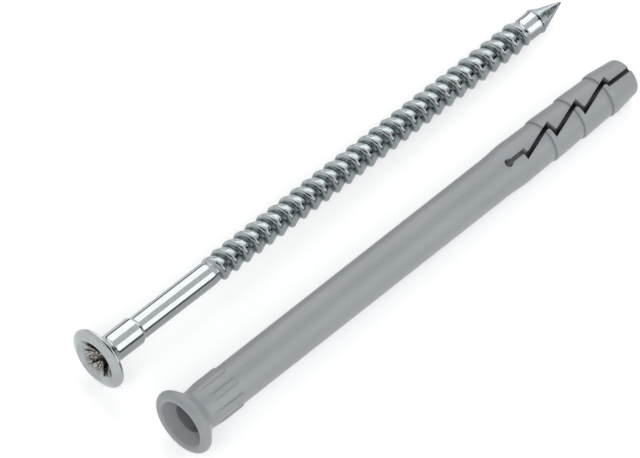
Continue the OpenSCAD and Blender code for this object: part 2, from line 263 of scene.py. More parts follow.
is_tip = np.array([0, 1] * TOOTH_COUNT)
tip_reach = CORNER_ROUND + (TIP_ROUND - CORNER_ROUND) * is_tip
slot_lines = {
    1: round_corners(moved_aside(middle_line(), SLOT_HALF),
                     [CORNER_ROUND, *tip_reach, CORNER_ROUND]),
    -1: round_corners(moved_aside(middle_line(), -SLOT_HALF),
                      [CORNER_ROUND, *tip_reach[::-1], CORNER_ROUND]),
}
slit_lines = {side: moved_aside(middle_line(), side * SLIT_HALF) for side in (1, -1)}


def slot_edge(z, side):
    """Distance y of a half's outer edge from the middle plane: nothing before the round hole, the
    hole's circle or the slot's line beyond it, whichever opens further."""
    line = slot_lines[side]
    circle = np.sqrt(np.clip(HOLE_R ** 2 - (z - HOLE_Z) ** 2, 0, None))
    near_hole = np.where(z < HOLE_Z, circle, np.maximum(circle, SLOT_HALF)) * side
    return np.where(z < HOLE_Z + HOLE_R, near_hole, np.interp(z, line[:, 0], line[:, 1]))


def slit_edge(z, side):
    """Distance y of a half's inner edge from the middle plane: nothing up to the middle of the
    round hole, and the slit's line beyond it."""
    line = slit_lines[side]
    return np.where(z > HOLE_Z, np.interp(z, line[:, 0], line[:, 1]), 0)


SLIT_START, HOLE_ROWS, EVEN_ROWS = 0.02, 15, 30
hole_z = HOLE_Z - HOLE_R * np.cos(np.linspace(0, math.pi, HOLE_ROWS))
slot_z = np.concatenate([line[:, 0] for line in (*slot_lines.values(), *slit_lines.values())]
                        + [hole_z, outer_line[:, 0], inner_line[:, 0], [HOLE_Z + SLIT_START],
                           np.linspace(HOLE_Z + 1, SLEEVE_END, EVEN_ROWS)])
slot_z = np.unique(np.round(slot_z[(slot_z >= HOLE_Z - HOLE_R) & (slot_z <= SLEEVE_END)], 3))
print("slot:", len(slot_z), "heights, first", slot_z[0], "last", slot_z[-1])

# %% [markdown]
# ## The neck ribs and the rows of a half
# Eight short ribs behind the flange stop the sleeve from turning in the wall. They are low ridges
# with flat tops, so they are a little extra radius near every eighth of a turn. The columns of the
# grid are placed on the ribs' sides, which keeps the ridges crisp without many faces. A half of the
# sleeve is one grid that goes up the outside, over the far end and back down the bore.

# %% The rows of a half
RIB_COUNT, RIB_H, RIB_TOP, RIB_FOOT, RIB_END = 8, 0.17, 0.29, 0.42, 8.7
RIB_RISE_FROM, RIB_RISE_TO, RIB_SLOPE = 3.3, 5.6, 0.2
NECK_ROWS, NECK_GAP = 12, 0.4
PLAIN_ROWS, PLAIN_GAP, PLAIN_END = 22, 0.8, 56
BORE_ROWS, HOLE_TO_BORE_ROWS = 8, 5
rib_end_z = RIB_END + np.array([-RIB_SLOPE, -0.12, -0.05, 0, 0.06])
tube_z = np.concatenate([np.linspace(FILLET_CENTRE[1], RIB_END - NECK_GAP, NECK_ROWS), rib_end_z,
                         np.linspace(RIB_END + PLAIN_GAP, PLAIN_END, PLAIN_ROWS)])
outer_z = np.unique(np.concatenate([tube_z, swell[swell[:, 0] < slot_z[0], 0], slot_z]))
bore_z = np.concatenate([np.linspace(slot_z[0], BORE_END, HOLE_TO_BORE_ROWS)[1:],
                         np.linspace(BORE_END, FUNNEL_END, BORE_ROWS)[1:]])
inner_z = np.concatenate([slot_z[::-1], bore_z])
row_z = np.concatenate([mouth[:, 1], outer_z, [SLEEVE_END], inner_z])
row_r = np.concatenate([mouth[:, 0], np.interp(outer_z, outer_line[:, 0], outer_line[:, 1]),
                        [CORE_R], np.interp(inner_z, inner_line[:, 0], inner_line[:, 1])])
first_outer = len(mouth)
end_row = first_outer + len(outer_z)
row_number = np.arange(len(row_z))
is_outer = (row_number >= first_outer) & (row_number < end_row)
is_inner = row_number > end_row
print("a half has", len(row_z), "rows")

# %% [markdown]
# ## How dark a place is
# Soft lamps all round fill small hollows with light, but on the real sleeve the feet of the ribs,
# the grooves at the barbs, the slot and the bore are clearly darker than the tube. Stronger lamps
# from one side would show that and spoil the even grey. So each point also carries a shade from 0
# to 1, which follows from its place in the form, and the plastic is darkened by it.

# %% The shade of each row, and the columns
FOOT_WIDTH, FOOT_SHADE, GROOVE_WIDTH, GROOVE_SHADE = 0.1, 0.36, 0.13, 0.45
FUNNEL_SHADE, BORE_SHADE = 0.24, 0.38
to_barb = np.abs(row_z[:, None] - BARB_HEIGHTS).min(axis=1)
row_shade = GROOVE_SHADE * np.clip(1 - to_barb / GROOVE_WIDTH, 0, 1) * is_outer
row_shade = np.maximum(row_shade, is_inner & (row_z > BORE_END))
row_shade = np.maximum(row_shade, BORE_SHADE * is_inner)
row_shade[:FUNNEL_ROWS] = np.linspace(BORE_SHADE, FUNNEL_SHADE, FUNNEL_ROWS)

RIB_TURN_DEG, EDGE_MARGIN_DEG, EDGE_SOFT = 6, 1.2, 0.05
rib_side_deg = np.array([0, 2.8, 4.9, 5.7, 6.6, 7.6, 8.5, 9.2, 13.6, 18, 22.5])
rib_steps_deg = np.concatenate([-rib_side_deg[-2:0:-1], rib_side_deg])


def column_parts(side):
    """The columns of a half as parts of its half turn: the same steps about every rib, and both
    edges twice, because an edge of the slot is soft."""
    ribs = 360 / RIB_COUNT * np.arange(-1, 6)[:, None] + side * RIB_TURN_DEG
    angles = (ribs + rib_steps_deg).ravel()
    angles = angles[(angles > EDGE_MARGIN_DEG) & (angles < 180 - EDGE_MARGIN_DEG)]
    return np.concatenate([[0, 0], angles / 180, [1, 1]])


print("columns of the two halves:", len(column_parts(1)), "and", len(column_parts(-1)))

# %% [markdown]
# ## The two halves and the faces of the slot
# On the real sleeve the mould's blade leaves the slot's faces. They could be bridged edge by edge
# in Blender, but both edges are known lines here, so the faces are grids between them as well. The
# halves and the four linings share their edge points, and merging those closes the sleeve.

# %% Build the sleeve
def sleeve_half(side):
    """Half of the sleeve as a grid of points. A row is one point of the section; along it the
    angle goes from the front edge of the slot, asin(y / r), to the back edge, pi - asin(y / r).
    The radius is the section's, plus the ribs, less a little at the slot's edges so that they
    are soft. The outer rows stop at the wide slot and the inner rows at the slit. The fourth
    number of a point is its shade."""
    y = np.where(is_inner, slit_edge(row_z, side), slot_edge(row_z, side))[:, None]
    r = row_r[:, None]
    turn_part = column_parts(side)
    edge_count = np.concatenate([[0], np.ones(len(turn_part) - 2), [2]])
    soft = EDGE_SOFT * (is_outer & (row_z > slot_z[0]))[:, None]
    first = np.arcsin(np.clip(side * y / r, -1, 1))
    angle = first + soft / r * edge_count + (math.pi - 2 * first - 2 * soft / r) * turn_part
    spacing = 2 * math.pi / RIB_COUNT
    turn = side * math.radians(RIB_TURN_DEG)
    reach = np.abs(((angle - turn) / spacing + 0.5) % 1 - 0.5) * spacing
    ridge = 1 - ease(reach * TUBE_R, RIB_TOP, RIB_FOOT)
    rise = ease(row_z, RIB_RISE_FROM, RIB_RISE_TO) * is_outer
    rise = rise * (1 - ease(row_z, RIB_END - RIB_SLOPE, RIB_END))
    radius = r + RIB_H * ridge * rise[:, None] - soft * (edge_count != 1)
    x = radius * np.cos(angle)
    across = np.maximum(radius * np.sin(angle), side * y)
    z = np.broadcast_to(row_z[:, None], x.shape)
    foot = np.clip(1 - np.abs(reach * TUBE_R - RIB_FOOT) / FOOT_WIDTH, 0, 1) * rise[:, None]
    shade = np.maximum(FOOT_SHADE * foot, row_shade[:, None])
    half = np.stack([x, across, z, shade], axis=2)
    return half[:, ::-1] * [1, -1, 1, 1] if side < 0 else half


LEDGE_STEPS, HOLE_SHADE = 3, 0.3


def slot_lining(half, side, column):
    """The cut faces along one edge of a half. At each height the lining goes from the outer edge
    straight in to the core, round the core to the slit, where the angle runs from asin(slot y /
    core r) to asin(slit y / core r), and straight in to the bore. It is darker past the hole."""
    count = len(slot_z)
    outer_edge = half[end_row - count:end_row, column]
    inner_edge = half[end_row + 1:end_row + 1 + count, column][::-1]
    dark = HOLE_SHADE + (1 - HOLE_SHADE) * ease(slot_z, FIRST_TOOTH, FIRST_TOOTH + TOOTH_SWING)
    t = np.linspace(0, 1, LEDGE_STEPS + 1)
    from_slot = np.arcsin(slot_edge(slot_z, side) / CORE_R)[:, None]
    from_slit = np.arcsin(slit_edge(slot_z, side) / CORE_R)[:, None]
    angle = from_slot + (from_slit - from_slot) * t
    front = np.sign(outer_edge[:, :1])
    ledge = np.stack([front * CORE_R * np.cos(angle), CORE_R * np.sin(angle),
                      np.broadcast_to(slot_z[:, None], angle.shape),
                      np.broadcast_to(dark[:, None], angle.shape)], axis=2)
    return np.concatenate([outer_edge[:, None], ledge, inner_edge[:, None]], axis=1)


def lining_faces(first, column):
    """Cells of a lining, without the ones inside the core before the slit starts, and a fan at
    the far end from the bore's edge to the ledge. The two edges of a half wind opposite ways."""
    count, columns = len(slot_z), LEDGE_STEPS + 3
    cells = grid_faces(count, columns, first).reshape(count - 1, columns - 1, 4)
    kept = np.ones((count - 1, columns - 1), bool)
    kept[slot_z[1:] <= HOLE_Z, -1] = False
    ledge = first + (count - 1) * columns + np.arange(1, columns - 1)
    bore = np.full(LEDGE_STEPS, first + count * columns - 1)
    fan = np.stack([ledge[1:], bore, bore, ledge[:-1]], axis=1)
    faces = np.concatenate([cells[kept], fan])
    return faces[:, ::-1] if column == 0 else faces


sleeve_points, sleeve_faces, point_count = [], [], 0
for side in (1, -1):
    half = sleeve_half(side)
    closed = np.concatenate([half, half[:1]])
    linings = [(slot_lining(half, side, column), column) for column in (0, -1)]
    sleeve_points.append(closed.reshape(-1, 4))
    sleeve_faces.append(grid_faces(*closed.shape[:2], point_count))
    point_count += closed.shape[0] * closed.shape[1]
    for lining, column in linings:
        sleeve_points.append(lining.reshape(-1, 4))
        sleeve_faces.append(lining_faces(point_count, column))
        point_count += lining.shape[0] * lining.shape[1]
sleeve_points = np.concatenate(sleeve_points)
sleeve, sleeve_kept = make_piece("plug_sleeve_moulding", sleeve_points[:, :3],
                                 np.concatenate(sleeve_faces), sleeve_place, crease_deg=32)
store(sleeve, "shade", sleeve_points[sleeve_kept, 3])
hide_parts("plug_sleeve")

# %% [markdown]
# ## The screw's head and its cross recess
# The head is a low dome with a dished middle, and in the dish a cross recess for a driver: four
# wings with steep walls, four sloping lands between them and a small notch down each land. A
# boolean with a cross would cut it. Instead the grid's columns run along the wings' walls, so a
# wall is one column of faces, and the depth at any place is the deeper of land and wing.

# %% The face of the head
DISH_R, LAND_R, RECESS_R = 2.625, 0.95, 3.1
DISH_DEPTH, LAND_DEPTH, RECESS_DEPTH = 0.35, 1.45, 2.2
WING_REACH, WING_FOOT = 2.775, 1.425
WING_FLOOR_HALF, WING_TOP_HALF = 0.53, 0.6
NOTCH_HALF, NOTCH_DEPTH, NOTCH_LIMIT = 0.18, 0.16, 0.6
NOTCH_START, NOTCH_STOP = (0.95, 1.1), (2.14, 2.39)
LAND_STEPS, WING_COLUMNS, NOTCH_COLUMNS = 7, 3, 3
face_r = np.array([0, 0.3, 0.58, 0.74, 0.845, 0.851, 0.9, 0.95, 1.0, 1.1, 1.27, 1.425, 1.66, 1.9,
                   2.14, 2.24, 2.32, 2.39, 2.48, 2.53, 2.59, 2.625, 2.67, 2.775, 2.92, 3.02,
                   RECESS_R])


def octant_angles(rho):
    """Angles of the columns in an eighth of the face, from a wing's middle to a land's middle:
    lines at a fixed distance d from the wing's middle, asin(d / rho); then equal steps; then
    lines at a fixed distance from the land's middle."""
    eighth = math.pi / 4
    rho = np.maximum(rho, 1e-6)[:, None]
    wing = np.arcsin(np.clip(np.array([0, 0.5 * WING_FLOOR_HALF, WING_FLOOR_HALF, WING_TOP_HALF])
                             / rho, 0, math.sin(eighth)))
    notch = np.clip(np.array([NOTCH_HALF, 0.5 * NOTCH_HALF, 0]) / rho, 0, NOTCH_LIMIT)
    wall = wing[:, WING_COLUMNS:]
    notch = np.maximum(eighth - np.arcsin(notch), wall)
    steps = np.arange(1, LAND_STEPS) / LAND_STEPS
    land = wall + (notch[:, :1] - wall) * steps
    return np.concatenate([wing, land, notch], axis=1)


def octant_depths(rho, angle):
    """Depth below the face's rim: the dish and the lands are straight slopes, a wing slopes in
    from its reach to its foot and is flat beyond, and a notch is a shallow groove in a land."""
    r = np.broadcast_to(rho[:, None], angle.shape)
    land = np.interp(r, [LAND_R, DISH_R, RECESS_R], [LAND_DEPTH, DISH_DEPTH, 0])
    run = (WING_REACH - r * np.cos(angle)) / (WING_REACH - WING_FOOT)
    wing = np.maximum(land, RECESS_DEPTH * np.clip(run, 0, 1))
    column = np.arange(angle.shape[1])
    groove = NOTCH_DEPTH * ease(r, *NOTCH_START) * (1 - ease(r, *NOTCH_STOP))
    groove = groove * (column > angle.shape[1] - NOTCH_COLUMNS)
    in_wing = (column < WING_COLUMNS) | (r < WING_TOP_HALF * math.sqrt(2))
    return np.where(in_wing, wing, land + groove)


def all_round(octant, mirror_angle):
    """Mirror an eighth into a quarter and repeat the quarter four times, closing the turn."""
    if mirror_angle:
        quarter = np.concatenate([octant, math.pi / 2 - octant[:, -2:0:-1]], axis=1)
        turns = [quarter + math.pi / 2 * k for k in range(4)]
        return np.concatenate(turns + [np.full((len(octant), 1), 2 * math.pi)], axis=1)
    quarter = np.concatenate([octant, octant[:, -2:0:-1]], axis=1)
    return np.concatenate([quarter] * 4 + [octant[:, :1]], axis=1)


eighth_angles = octant_angles(face_r)
face_angle = all_round(eighth_angles, True)
face_depth = all_round(octant_depths(face_r, eighth_angles), False)
face = np.stack([face_r[:, None] * np.cos(face_angle), face_r[:, None] * np.sin(face_angle),
                 RECESS_FACE + face_depth], axis=2)
round_angle = face_angle[-1]
print("face:", face.shape[0], "rows of", face.shape[1], "points")

# %% [markdown]
# ## The dome, the collar, the shank and the point
# Everything behind the face is turned: the dome, the round rim, the cone that seats in the
# sleeve's funnel, a thicker collar, the plain shank, and past the thread a plain nose and a
# pinched point. A section turned on the same columns as the face joins it without a seam. The
# point was pinched off between two dies, so its cone is pressed in slightly on four sides.

# %% The turned parts
DOME_Z, DOME_R, RIM_CENTRE, RIM_R = 6.7148, 8.4, (4.05, -0.3), 0.3
SEAT_CENTRE, SEAT_R = (3.12, 1.8914), 1.2
COLLAR_R, SHANK_R, ROOT_R, CREST_R, NOSE_R = 1.92, 1.65, 1.475, 1.95, 1.625
THREAD_START, THREAD_END, PITCH = 18.9, 76.4, 2.02
SHOULDER_Z, SHOULDER_R, SCREW_END, TIP_R = 78.25, 1.75, 82.8, 0.15
RIM_MEETS_DOME_DEG, PINCH, PINCH_RUN = -60, 0.12, 1.2
face_edge_deg = math.degrees(math.asin(RECESS_R / DOME_R)) - 90
head_line = np.concatenate([
    arc((0, DOME_Z), DOME_R, face_edge_deg, RIM_MEETS_DOME_DEG, steps=6)[1:],
    arc(RIM_CENTRE, RIM_R, RIM_MEETS_DOME_DEG, 90, steps=12)[1:],
    [(3.55, 0), (3.385, 0.01), (3.295, 0.05), (3.225, 0.1)],
    arc(SEAT_CENTRE, SEAT_R, 225, 180, steps=10),
    [(COLLAR_R, 1.96), (COLLAR_R, 3.5), (COLLAR_R, 5.88), (COLLAR_R, 5.96), (1.905, 6.02)],
    [(1.68, 6.36), (SHANK_R, 6.42), (SHANK_R, 6.5), (SHANK_R, 13), (SHANK_R, THREAD_START)],
])
point_line = np.concatenate([
    [(NOSE_R, THREAD_END), (NOSE_R, 77.1), (NOSE_R, 77.98), (1.66, 78.06), (1.72, 78.16)],
    [(1.745, 78.22), (SHOULDER_R, SHOULDER_Z), (1.735, 78.32)],
    np.linspace((1.695, 78.42), (TIP_R, SCREW_END - 0.06), 16),
    [(0.1, SCREW_END), (0, SCREW_END)],
])


def turned(line, pinch=0.0):
    """Carry a section (radius, z) round the axis; towards the point the radius loses up to the
    given part of itself on four sides, as (1 + cos 4a) / 2."""
    press = pinch * ease(line[:, 1], SHOULDER_Z, SHOULDER_Z + PINCH_RUN)[:, None]
    radius = line[:, :1] * (1 - press * (1 + np.cos(4 * round_angle)) / 2)
    z = np.broadcast_to(line[:, 1:], radius.shape)
    return np.stack([radius * np.cos(round_angle), radius * np.sin(round_angle), z], axis=2)


head_sides = turned(head_line)
point = turned(point_line, pinch=PINCH)
print("turned rows:", len(head_sides), "and", len(point))

# %% [markdown]
# ## The nail thread
# The thread is a saw tooth: steep towards the head so that it holds, and a long slope towards the
# point so that a hammer can drive it. Blender's Screw modifier could sweep a tooth, but its ends
# would be cut off square. Here every row of the grid follows the helix: it rises by one pitch in
# a turn and so meets the same row of the next turn. Rows stop at the thread's two end planes, and
# the tooth fades away there.

# %% The thread, and the whole screw
TOOTH = np.array([[0, 0], [0.025, 0.03], [0.055, 0.2], [0.095, 0.52], [0.135, 0.77], [0.17, 0.9],
                  [0.205, 0.97], [0.235, 1], [0.255, 0.965], [0.275, 0.995], [0.32, 0.95],
                  [0.4, 0.85], [0.55, 0.62], [0.72, 0.35], [0.87, 0.11], [0.95, 0.015]])
FADE_IN, FADE_OUT, CORE_RUN = 1.5, 1.7, 0.9


def thread_rows():
    """Row i is step i of the tooth's outline. At angle a its height is start + pitch * (turns +
    part + a / 2 pi), held between the end planes; its radius is the core's, plus the tooth's
    height there, faded in and out. The core eases from the shank to the root to the nose."""
    turns = np.arange(-2, math.ceil((THREAD_END - THREAD_START) / PITCH) + 1)
    part = (turns[:, None] + TOOTH[:, 0]).ravel()
    tooth = np.tile(TOOTH[:, 1], len(turns))[:, None]
    z = THREAD_START + PITCH * (part[:, None] + round_angle / (2 * math.pi))
    z = np.clip(z, THREAD_START, THREAD_END)
    core = SHANK_R + (ROOT_R - SHANK_R) * ease(z, THREAD_START, THREAD_START + CORE_RUN)
    core = core + (NOSE_R - ROOT_R) * ease(z, THREAD_END - CORE_RUN, THREAD_END)
    fade = ease(z, THREAD_START, THREAD_START + FADE_IN)
    fade = fade * (1 - ease(z, THREAD_END - FADE_OUT, THREAD_END))
    radius = core + (CREST_R - core) * tooth * fade
    return np.stack([radius * np.cos(round_angle), radius * np.sin(round_angle), z], axis=2)


thread = thread_rows()
screw_grid = np.concatenate([face, head_sides, thread, point])
screw_faces = grid_faces(*screw_grid.shape[:2])
screw, screw_kept = make_piece("nail_screw_plated", screw_grid.reshape(-1, 3), screw_faces,
                               screw_place, crease_deg=34)
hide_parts("nail_screw")

# %% [markdown]
# ## How deep a place lies in the form
# Plating is brightest on crests. Towards the thread's roots it is darkened with painted shade, and
# the recess gets painted shade mixed with a little dirt. Rolled thread is rougher than the drawn
# shank. The pinched point is rougher still, and the head is a little dented. The material needs to
# know which is which. A texture could not tell, but the surface can: every point's place in the
# form is known, so it is stored on the mesh.

# %% Store the depths and the rolled places
SHOULDER_ROWS, POINT_WEAR, HEAD_ROWS, HEAD_WEAR = 3, 5, 18, 0.5
first_thread = len(face) + len(head_sides)
thread_part = slice(first_thread, first_thread + len(thread))
tooth_height = np.tile(TOOTH[:, 1], len(thread) // len(TOOTH))
root_depth, recess_depth, rolled = (np.zeros(screw_grid.shape[:2]) for _ in range(3))
recess_depth[:len(face)] = np.clip(face_depth / RECESS_DEPTH, 0, 1)
thread_z = thread[..., 2]
rolled[thread_part] = (ease(thread_z, THREAD_START, THREAD_START + FADE_IN)
                       * (1 - ease(thread_z, THREAD_END - FADE_OUT, THREAD_END)))
root_depth[thread_part] = (1 - tooth_height)[:, None] * rolled[thread_part]
rolled[first_thread + len(thread) + SHOULDER_ROWS:] = POINT_WEAR
rolled[:len(face) + HEAD_ROWS] = HEAD_WEAR
for name, values in (("root_depth", root_depth), ("recess_depth", recess_depth),
                     ("rolled", rolled)):
    store(screw, name, values.reshape(-1)[screw_kept])

# %% [markdown]
# ## Steps of a material
# A real surface's look has layers: its colour, what lies on it, how rough it is and how uneven. In
# Blender they are nodes, which could be joined by hand in the editor. Each helper here adds one
# node and returns its output, so that a material below reads as a list of steps.

# %% Helpers for materials
def new_material(name):
    """An empty node material with its Principled shader joined to the output."""
    material = bpy.data.materials.new(name)
    material.use_nodes = True
    nodes, links = material.node_tree.nodes, material.node_tree.links
    nodes.clear()
    output = nodes.new("ShaderNodeOutputMaterial")
    shader = nodes.new("ShaderNodeBsdfPrincipled")
    links.new(shader.outputs[0], output.inputs["Surface"])
    return material, nodes, links, shader


def noise_on_object(nodes, links, scale, detail, stretch=(1, 1, 1)):
    """A noise on the piece's own coordinates in metres, stretched by a Mapping node."""
    where = nodes.new("ShaderNodeTexCoord")
    mapping = nodes.new("ShaderNodeMapping")
    mapping.inputs["Scale"].default_value = stretch
    noise = nodes.new("ShaderNodeTexNoise")
    noise.inputs["Scale"].default_value = scale
    noise.inputs["Detail"].default_value = detail
    links.new(where.outputs["Object"], mapping.inputs["Vector"])
    links.new(mapping.outputs[0], noise.inputs["Vector"])
    return noise.outputs["Fac"]


def between(nodes, links, value, low, high, from_low=0.3, from_high=0.7):
    """Map a noise's usual range to the range low to high."""
    mapped = nodes.new("ShaderNodeMapRange")
    for socket, number in zip(("From Min", "From Max", "To Min", "To Max"),
                              (from_low, from_high, low, high)):
        mapped.inputs[socket].default_value = number
    links.new(value, mapped.inputs["Value"])
    return mapped.outputs[0]


def blend_colour(nodes, links, factor, first, second):
    """Mix two colours, or a colour and another node's colour, by a factor."""
    mix = nodes.new("ShaderNodeMix")
    mix.data_type = "RGBA"
    links.new(factor, mix.inputs["Factor"])
    for socket, colour in ((mix.inputs["A"], first), (mix.inputs["B"], second)):
        if isinstance(colour, bpy.types.NodeSocket):
            links.new(colour, socket)
        else:
            socket.default_value = (*colour, 1)
    return mix.outputs["Result"]


def add_bump(nodes, links, shader, height, distance, strength):
    """Join a height to the shader's normal through a Bump node."""
    bump = nodes.new("ShaderNodeBump")
    bump.inputs["Strength"].default_value = strength
    bump.inputs["Distance"].default_value = distance
    links.new(height, bump.inputs["Height"])
    links.new(bump.outputs[0], shader.inputs["Normal"])


def stored(nodes, name):
    """The number that the mesh stores at each point under a name."""
    attribute = nodes.new("ShaderNodeAttribute")
    attribute.attribute_name = name
    return attribute.outputs["Fac"]


def combined(nodes, links, operation, first, second):
    """The sum, product, or any other result of two numbers or outputs."""
    maths = nodes.new("ShaderNodeMath")
    maths.operation = operation
    for socket, value in zip(maths.inputs, (first, second)):
        if isinstance(value, bpy.types.NodeSocket):
            links.new(value, socket)
        else:
            socket.default_value = value
    return maths.outputs[0]


# %% [markdown]
# ## Grey nylon
# The sleeve is moulded nylon: an even cool grey with a soft sheen, faint cloudy streaks along
# the flow of the plastic and a very fine grain from the mould. A plain colour would look like
# paint, so two noises change it slightly, one of them stretched along the tube, a third one gives
# the grain to the bump and the sheen, and the stored shade darkens the hollows.

# %% The nylon
NYLON_DARK, NYLON_PALE = (0.305, 0.325, 0.34), (0.34, 0.36, 0.375)
NYLON_STREAK, NYLON_HOLLOW = (0.355, 0.375, 0.39), (0.02, 0.021, 0.022)
NYLON_IOR, STREAK_MOST = 1.53, 0.35
ALONG_CLOUD, ALONG_STREAK = (0.35, 1, 1), (0.06, 1, 1)
nylon, nodes, links, shader = new_material("grey_nylon_moulded")
cloud = noise_on_object(nodes, links, scale=260, detail=3, stretch=ALONG_CLOUD)
streak = noise_on_object(nodes, links, scale=900, detail=2, stretch=ALONG_STREAK)
grain = noise_on_object(nodes, links, scale=6500, detail=3)
tint = blend_colour(nodes, links, between(nodes, links, cloud, 0, 1), NYLON_DARK, NYLON_PALE)
tint = blend_colour(nodes, links, between(nodes, links, streak, 0, STREAK_MOST), tint,
                    NYLON_STREAK)
tint = blend_colour(nodes, links, stored(nodes, "shade"), tint, NYLON_HOLLOW)
links.new(tint, shader.inputs["Base Color"])
links.new(between(nodes, links, grain, low=0.28, high=0.38), shader.inputs["Roughness"])
shader.inputs["IOR"].default_value = NYLON_IOR
shader.inputs["Specular IOR Level"].default_value = 0.5
add_bump(nodes, links, shader, grain, distance=0.00003, strength=0.5)
sleeve.data.materials.append(nylon)
print("nylon:", len(nodes), "nodes")

# %% [markdown]
# ## Bright zinc plate
# The screw is steel with a thin bright zinc plate: a mirror that is not quite flat, slightly blue.
# A metal's look is its reflections, so the detail goes into roughness and a faint unevenness of the
# rolled places. The stored depths put painted shade into the roots of the thread, and painted shade
# mixed with a little dirt into the recess, which is also rougher.

# %% The zinc plate
PLATE_DARK, PLATE_PALE = (0.375, 0.395, 0.405), (0.415, 0.435, 0.445)
# The second colour below is painted shade for the thread's roots.
PLATE_WORKED, PLATE_SHADED_ROOT = (0.32, 0.375, 0.39), (0.06, 0.073, 0.077)
# The first colour below is painted shade for the recess, and the second is pale specks of dirt.
RECESS_SHADE_DARK, DIRT_PALE, DIRT_ROUGH = (0.035, 0.033, 0.029), (0.5, 0.475, 0.42), 0.3
zinc, nodes, links, shader = new_material("bright_zinc_plate")
waves = noise_on_object(nodes, links, scale=1500, detail=2)
fine = noise_on_object(nodes, links, scale=7000, detail=3)
mottle = noise_on_object(nodes, links, scale=3400, detail=3)
dents = noise_on_object(nodes, links, scale=3000, detail=3)
rolled_here = stored(nodes, "rolled")
root_here = stored(nodes, "root_depth")
recess_here = stored(nodes, "recess_depth")

plate = blend_colour(nodes, links, between(nodes, links, waves, 0, 1), PLATE_DARK, PLATE_PALE)
flank = between(nodes, links, root_here, low=0.15, high=1, from_low=0.02, from_high=0.4)
worked = combined(nodes, links, "MULTIPLY", rolled_here, between(nodes, links, mottle, 0.3, 1))
worked = combined(nodes, links, "MULTIPLY", worked, flank)
plate = blend_colour(nodes, links, worked, plate, PLATE_WORKED)
# Painted shade: the plate is darkened towards the roots of the thread.
root_shade = between(nodes, links, root_here, low=0, high=0.85, from_low=0.5, from_high=0.95)
plate = blend_colour(nodes, links, root_shade, plate, PLATE_SHADED_ROOT)
# Painted shade in the recess, darker with depth and mixed with pale specks of dirt; the same mask
# makes the recess rougher.
recess_shade_and_dirt = between(nodes, links, recess_here, low=0, high=0.9, from_low=0.14, from_high=0.5)
specks = between(nodes, links, mottle, low=0, high=1, from_low=0.46, from_high=0.58)
shade_and_dirt_colour = blend_colour(nodes, links, specks, RECESS_SHADE_DARK, DIRT_PALE)
links.new(blend_colour(nodes, links, recess_shade_and_dirt, plate, shade_and_dirt_colour), shader.inputs["Base Color"])

rough = combined(nodes, links, "MULTIPLY", rolled_here, between(nodes, links, mottle, 0, 0.06))
rough = combined(nodes, links, "ADD", rough, between(nodes, links, fine, 0.04, 0.08))
soiled_rough = combined(nodes, links, "MULTIPLY", recess_shade_and_dirt, DIRT_ROUGH)
links.new(combined(nodes, links, "ADD", rough, soiled_rough), shader.inputs["Roughness"])
shader.inputs["Metallic"].default_value = 1
uneven = between(nodes, links, rolled_here, low=0.03, high=1, from_low=0, from_high=1)
ripple = combined(nodes, links, "MULTIPLY", dents, uneven)
add_bump(nodes, links, shader, ripple, distance=0.0001, strength=0.38)
screw.data.materials.append(zinc)
print("zinc:", len(nodes), "nodes")

# %% [markdown]
# ## Floor and background
# The pieces lie on a plain white table. A white background could come from strong lamps, but that
# would wash the pieces out. The floor's paint is bright instead, and a soft glow is added to it
# towards the camera and in reflections. The two together read as white, and the paint under the
# glow still takes the whole of the pieces' shadow.

# %% Floor and world
def seen_directly(nodes, links):
    """1 for rays from the camera and for rays that metal or glass sends on, otherwise 0."""
    path = nodes.new("ShaderNodeLightPath")
    seen = path.outputs["Is Camera Ray"]
    for name in ("Is Glossy Ray", "Is Transmission Ray"):
        seen = combined(nodes, links, "MAXIMUM", seen, path.outputs[name])
    return seen


FLOOR_HALF, FLOOR_GLOW, FLOOR_PAINT = 2.5, 0.42, (0.9, 0.9, 0.9, 1)
COOL_WHITE = (0.97, 0.985, 1, 1)
SQUARE = np.array([[-1, -1, 0], [1, -1, 0], [1, 1, 0], [-1, 1, 0]], float)
floor_mesh = bpy.data.meshes.new("white_table")
floor_mesh.from_pydata((SQUARE * FLOOR_HALF).tolist(), [], [(0, 1, 2, 3)])
floor = bpy.data.objects.new("white_table", floor_mesh)
bpy.context.scene.collection.objects.link(floor)
paint, nodes, links, shader = new_material("white_table_paint")
shader.inputs["Base Color"].default_value = FLOOR_PAINT
shader.inputs["Roughness"].default_value = 0.9
shader.inputs["Specular IOR Level"].default_value = 0.1
glow = nodes.new("ShaderNodeEmission")
share = combined(nodes, links, "MULTIPLY", seen_directly(nodes, links), FLOOR_GLOW)
links.new(share, glow.inputs["Strength"])
both = nodes.new("ShaderNodeAddShader")
links.new(shader.outputs[0], both.inputs[0])
links.new(glow.outputs[0], both.inputs[1])
links.new(both.outputs[0], nodes["Material Output"].inputs["Surface"])
floor_mesh.materials.append(paint)

WORLD_LIGHT = 0.36
world = bpy.data.worlds.new("white_room")
bpy.context.scene.world = world
world.use_nodes = True
nodes, links = world.node_tree.nodes, world.node_tree.links
nodes.clear()
output = nodes.new("ShaderNodeOutputWorld")
white = nodes.new("ShaderNodeBackground")
white.inputs["Color"].default_value = (1, 1, 1, 1)
white.inputs["Strength"].default_value = 1
light = nodes.new("ShaderNodeBackground")
light.inputs["Color"].default_value = COOL_WHITE
light.inputs["Strength"].default_value = WORLD_LIGHT
mix = nodes.new("ShaderNodeMixShader")
links.new(seen_directly(nodes, links), mix.inputs[0])
links.new(light.outputs[0], mix.inputs[1])
links.new(white.outputs[0], mix.inputs[2])
links.new(mix.outputs[0], output.inputs["Surface"])
print("floor half width", FLOOR_HALF, "m")

